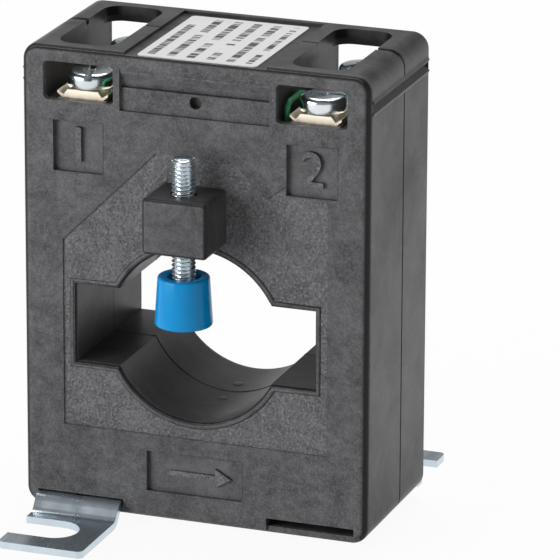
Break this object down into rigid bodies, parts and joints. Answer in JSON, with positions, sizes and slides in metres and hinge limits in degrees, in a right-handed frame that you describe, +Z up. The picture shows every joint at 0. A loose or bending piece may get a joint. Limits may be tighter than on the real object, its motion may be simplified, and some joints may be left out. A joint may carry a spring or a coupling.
{
  "type": "current transformer",
  "caption": "Window-type current transformer: a dark moulded casing with a slotted round window, a busbar clamp screw with a cap, screw terminals and steel feet.",
  "frame": {"origin": "on the mounting surface, at the middle of the box round the casing and its two feet", "axes": "+Z up, -Y out of the face with the clamp, +X to the right as that face is seen"},
  "size_m": [0.0604, 0.0662, 0.0809],
  "materials": {
    "casing_plastic": "fine spark texture",
    "core_steel": "rolled strip edges",
    "insulation_film": "wrapped polyester film",
    "winding_copper": "enamelled copper wire",
    "terminal_metal": "yellow passivated",
    "screw_steel": "bright zinc plate",
    "zinc_steel": "blue zinc plate",
    "cap_plastic": "smooth moulded",
    "lead_sleeve": "smooth sleeve",
    "label_film": "satin label film"
  },
  "bodies": {
    "casing": {"front_shell": "casing_plastic", "rear_shell": "casing_plastic", "core": "core_steel", "core_insulation": "insulation_film", "secondary_winding": "winding_copper", "winding_wrap": "insulation_film", "terminal_bar_left": "terminal_metal", "terminal_bar_right": "terminal_metal", "lead_left": "lead_sleeve", "lead_right": "lead_sleeve", "bar_clamp_nut": "zinc_steel", "foot_front": "zinc_steel", "foot_rear": "zinc_steel", "rating_label": "label_film"},
    "clamp_cap": {"bar_clamp_cap": "cap_plastic"},
    "clamp_screw": {"bar_clamp_screw": "screw_steel"},
    "clamp_left_front": {"clamp_plate_left_front": "terminal_metal"},
    "screw_left_front": {"terminal_screw_left_front": "screw_steel"},
    "clamp_left_rear": {"clamp_plate_left_rear": "terminal_metal"},
    "screw_left_rear": {"terminal_screw_left_rear": "screw_steel"},
    "clamp_right_front": {"clamp_plate_right_front": "terminal_metal"},
    "screw_right_front": {"terminal_screw_right_front": "screw_steel"},
    "clamp_right_rear": {"clamp_plate_right_rear": "terminal_metal"},
    "screw_right_rear": {"terminal_screw_right_rear": "screw_steel"}
  },
  "joints": [
    {"name": "clamp_travel", "type": "slide", "parent": "casing", "child": "clamp_cap", "axis": [0, 0, 1], "range_m": [-0.006, 0.0042]},
    {"name": "clamp_turn", "type": "hinge", "parent": "clamp_cap", "child": "clamp_screw", "pos_m": [0, -0.0197, 0.0503], "axis": [0, 0, 1], "range_deg": [-3086.5, 2160.8]},
    {"name": "lift_left_front", "type": "slide", "parent": "casing", "child": "clamp_left_front", "axis": [0, 0, 1], "range_m": [0, 0.0023]},
    {"name": "turn_left_front", "type": "hinge", "parent": "clamp_left_front", "child": "screw_left_front", "pos_m": [-0.0201, -0.0093, 0.0718], "axis": [0, 0, 1], "range_deg": [0, 1183.3]},
    {"name": "lift_left_rear", "type": "slide", "parent": "casing", "child": "clamp_left_rear", "axis": [0, 0, 1], "range_m": [0, 0.0023]},
    {"name": "turn_left_rear", "type": "hinge", "parent": "clamp_left_rear", "child": "screw_left_rear", "pos_m": [-0.0201, 0.0093, 0.0718], "axis": [0, 0, 1], "range_deg": [0, 1183.3]},
    {"name": "lift_right_front", "type": "slide", "parent": "casing", "child": "clamp_right_front", "axis": [0, 0, 1], "range_m": [0, 0.0023]},
    {"name": "turn_right_front", "type": "hinge", "parent": "clamp_right_front", "child": "screw_right_front", "pos_m": [0.0201, -0.0093, 0.0718], "axis": [0, 0, 1], "range_deg": [0, 1183.3]},
    {"name": "lift_right_rear", "type": "slide", "parent": "casing", "child": "clamp_right_rear", "axis": [0, 0, 1], "range_m": [0, 0.0023]},
    {"name": "turn_right_rear", "type": "hinge", "parent": "clamp_right_rear", "child": "screw_right_rear", "pos_m": [0.0201, 0.0093, 0.0718], "axis": [0, 0, 1], "range_deg": [0, 1183.3]}
  ],
  "couplings": [
    {"joint": "clamp_turn", "follows": "clamp_travel", "rad_per_m": 8976},
    {"joint": "turn_left_front", "follows": "lift_left_front", "rad_per_m": 8976},
    {"joint": "turn_left_rear", "follows": "lift_left_rear", "rad_per_m": 8976},
    {"joint": "turn_right_front", "follows": "lift_right_front", "rad_per_m": 8976},
    {"joint": "turn_right_rear", "follows": "lift_right_rear", "rad_per_m": 8976}
  ]
}
